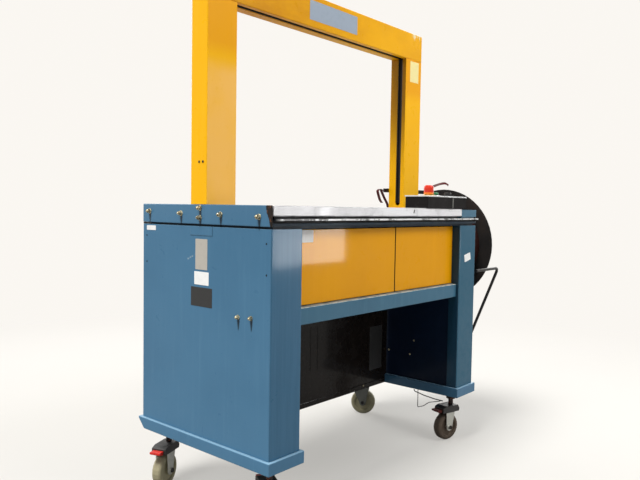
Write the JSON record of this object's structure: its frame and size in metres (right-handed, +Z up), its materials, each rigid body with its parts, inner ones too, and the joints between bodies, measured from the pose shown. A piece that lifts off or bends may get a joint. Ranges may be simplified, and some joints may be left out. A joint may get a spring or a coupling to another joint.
{
  "type": "semi-automatic strapping machine",
  "caption": "Arch strapping machine on swivel casters: sheet-metal table, box-section arch with strap slot, control box and side reel dispenser.",
  "frame": {"origin": "on the floor under the middle of the whole machine's bounding box", "axes": "+X along the table towards the strap reel, +Y from the operator's side to the rear, +Z up"},
  "size_m": [1.3524, 0.573, 1.543],
  "materials": {
    "blue_paint": "satin blue paint, a little worn",
    "yellow_paint": "glossy yellow paint",
    "steel": "worn bright steel",
    "black_paint": "black paint",
    "black_plastic": "matt black plastic",
    "red_plastic": "red moulded plastic",
    "green_plastic": "green moulded plastic",
    "strap": "dark red polypropylene strapping",
    "tyre": "beige grey tyre on a plastic hub",
    "casting": "plain machined metal",
    "drive_rubber": "black belt"
  },
  "bodies": {
    "machine": {"left_column": "blue_paint", "right_column": "blue_paint", "left_inner_cover": "black_paint", "right_inner_cover": "black_paint", "left_base_rail": "blue_paint", "right_base_rail": "blue_paint", "left_band": "blue_paint", "right_end_block": "blue_paint", "top_frame": "blue_paint", "table_tray": "steel", "front_table_plate": "steel", "front_cross_rail": "blue_paint", "rear_cross_rail": "blue_paint", "rear_cover": "yellow_paint", "kick_panel": "black_paint", "mechanism_floor": "blue_paint", "left_arch_leg": "yellow_paint", "right_arch_leg": "yellow_paint", "arch_beam": "yellow_paint", "left_strap_guide": "black_plastic", "right_strap_guide": "black_plastic", "top_strap_guide": "black_plastic", "strap_guide_bar": "black_paint", "control_box": "black_paint", "control_box_lid": "steel", "dispenser_bracket": "black_paint", "strap_run": "strap", "strap_loop": "strap", "head_frame": "casting", "drive_motor": "casting", "drive_belt": "drive_rubber", "electrics_box": "casting", "wire_bracket": "black_paint"},
    "left_door": {"left_door": "yellow_paint"},
    "right_door": {"right_door": "yellow_paint"},
    "rear_table_flap": {"rear_table_flap": "steel"},
    "emergency_stop_button": {"emergency_stop_button": "red_plastic"},
    "start_button": {"start_button": "green_plastic"},
    "tension_knob": {"tension_knob": "black_plastic"},
    "reel": {"reel_spool": "black_plastic", "strap_coil": "strap", "outer_flange": "black_plastic", "reel_lock_knob": "black_plastic"},
    "dancer_rod": {"dancer_rod": "black_paint"},
    "slide_plate": {"slide_plate": "steel"},
    "cam_shaft": {"cam_shaft": "casting"},
    "motor_pulley": {"motor_pulley": "casting"},
    "feed_roller": {"feed_roller": "casting"},
    "pinch_roller": {"pinch_roller": "casting"},
    "front_left_fork": {"front_left_fork": "black_paint"},
    "front_left_wheel": {"front_left_wheel": "tyre"},
    "front_left_brake_pedal": {"front_left_brake_pedal": "red_plastic"},
    "rear_left_fork": {"rear_left_fork": "black_paint"},
    "rear_left_wheel": {"rear_left_wheel": "tyre"},
    "rear_left_brake_pedal": {"rear_left_brake_pedal": "red_plastic"},
    "front_right_fork": {"front_right_fork": "black_paint"},
    "front_right_wheel": {"front_right_wheel": "tyre"},
    "front_right_brake_pedal": {"front_right_brake_pedal": "red_plastic"},
    "rear_right_fork": {"rear_right_fork": "black_paint"},
    "rear_right_wheel": {"rear_right_wheel": "tyre"}
  },
  "joints": [
    {"name": "left_door_hinge", "type": "hinge", "parent": "machine", "child": "left_door", "pos_m": [-0.52967, -0.243, 0.7], "axis": [0, 0, -1], "range_deg": [0, 88]},
    {"name": "right_door_hinge", "type": "hinge", "parent": "machine", "child": "right_door", "pos_m": [0.30533, -0.243, 0.7], "axis": [0, 0, 1], "range_deg": [0, 88]},
    {"name": "table_flap_hinge", "type": "hinge", "parent": "machine", "child": "rear_table_flap", "pos_m": [-0.16217, 0.272, 0.8445], "axis": [-1, 0, 0], "range_deg": [0, 80]},
    {"name": "emergency_stop_press", "type": "slide", "parent": "machine", "child": "emergency_stop_button", "axis": [0, 0, -1], "range_m": [0, 0.004], "stiffness_N_per_m": 800, "springref_m": -0.001},
    {"name": "start_press", "type": "slide", "parent": "machine", "child": "start_button", "axis": [0, 0, -1], "range_m": [0, 0.004], "stiffness_N_per_m": 400, "springref_m": -0.001},
    {"name": "tension_turn", "type": "hinge", "parent": "machine", "child": "tension_knob", "pos_m": [0.28283, -0.2375, 0.915], "axis": [0, 0, 1], "range_deg": [-135, 135]},
    {"name": "reel_spin", "type": "hinge", "parent": "machine", "child": "reel", "pos_m": [0.54783, -0.0195, 0.721], "axis": [1, 0, 0], "continuous": true},
    {"name": "dancer_swing", "type": "hinge", "parent": "machine", "child": "dancer_rod", "pos_m": [0.44783, -0.1375, 0.285], "axis": [1, 0, 0], "range_deg": [0, 40]},
    {"name": "head_slide", "type": "slide", "parent": "machine", "child": "slide_plate", "axis": [0, 1, 0], "range_m": [0, 0.03]},
    {"name": "cam_turn", "type": "hinge", "parent": "machine", "child": "cam_shaft", "pos_m": [-0.11217, 0.0225, 0.7], "axis": [0, 1, 0], "continuous": true},
    {"name": "motor_turn", "type": "hinge", "parent": "machine", "child": "motor_pulley", "pos_m": [0.19783, 0.0225, 0.625], "axis": [0, 1, 0], "continuous": true},
    {"name": "feed_turn", "type": "hinge", "parent": "machine", "child": "feed_roller", "pos_m": [0.03783, 0.0225, 0.765], "axis": [0, 1, 0], "continuous": true},
    {"name": "pinch_turn", "type": "hinge", "parent": "machine", "child": "pinch_roller", "pos_m": [0.03783, 0.0225, 0.7188], "axis": [0, 1, 0], "continuous": true},
    {"name": "front_left_swivel", "type": "hinge", "parent": "machine", "child": "front_left_fork", "pos_m": [-0.59517, -0.2225, 0.12], "axis": [0, 0, 1], "continuous": true},
    {"name": "front_left_roll", "type": "hinge", "parent": "front_left_fork", "child": "front_left_wheel", "pos_m": [-0.58317, -0.20172, 0.05], "axis": [-0.866, 0.5, 0], "continuous": true},
    {"name": "front_left_brake", "type": "hinge", "parent": "front_left_fork", "child": "front_left_brake_pedal", "pos_m": [-0.56592, -0.17184, 0.114], "axis": [-0.866, 0.5, 0], "range_deg": [0, 12]},
    {"name": "rear_left_swivel", "type": "hinge", "parent": "machine", "child": "rear_left_fork", "pos_m": [-0.59517, 0.2205, 0.12], "axis": [0, 0, 1], "continuous": true},
    {"name": "rear_left_roll", "type": "hinge", "parent": "rear_left_fork", "child": "rear_left_wheel", "pos_m": [-0.61743, 0.21151, 0.05], "axis": [0.3746, -0.9272, 0], "continuous": true},
    {"name": "rear_left_brake", "type": "hinge", "parent": "rear_left_fork", "child": "rear_left_brake_pedal", "pos_m": [-0.64941, 0.19859, 0.114], "axis": [0.3746, -0.9272, 0], "range_deg": [0, 12]},
    {"name": "front_right_swivel", "type": "hinge", "parent": "machine", "child": "front_right_fork", "pos_m": [0.37083, -0.2225, 0.12], "axis": [0, 0, 1], "continuous": true},
    {"name": "front_right_roll", "type": "hinge", "parent": "front_right_fork", "child": "front_right_wheel", "pos_m": [0.34776, -0.21588, 0.05], "axis": [-0.2756, -0.9613, 0], "continuous": true},
    {"name": "front_right_brake", "type": "hinge", "parent": "front_right_fork", "child": "front_right_brake_pedal", "pos_m": [0.31459, -0.20638, 0.114], "axis": [-0.2756, -0.9613, 0], "range_deg": [0, 12]},
    {"name": "rear_right_swivel", "type": "hinge", "parent": "machine", "child": "rear_right_fork", "pos_m": [0.37083, 0.2205, 0.12], "axis": [0, 0, 1], "continuous": true},
    {"name": "rear_right_roll", "type": "hinge", "parent": "rear_right_fork", "child": "rear_right_wheel", "pos_m": [0.38283, 0.19972, 0.05], "axis": [0.866, 0.5, 0], "continuous": true}
  ],
  "couplings": [
    {"joint": "motor_turn", "follows": "cam_turn", "ratio": 2.5},
    {"joint": "pinch_turn", "follows": "feed_turn", "ratio": -1.0909}
  ]
}
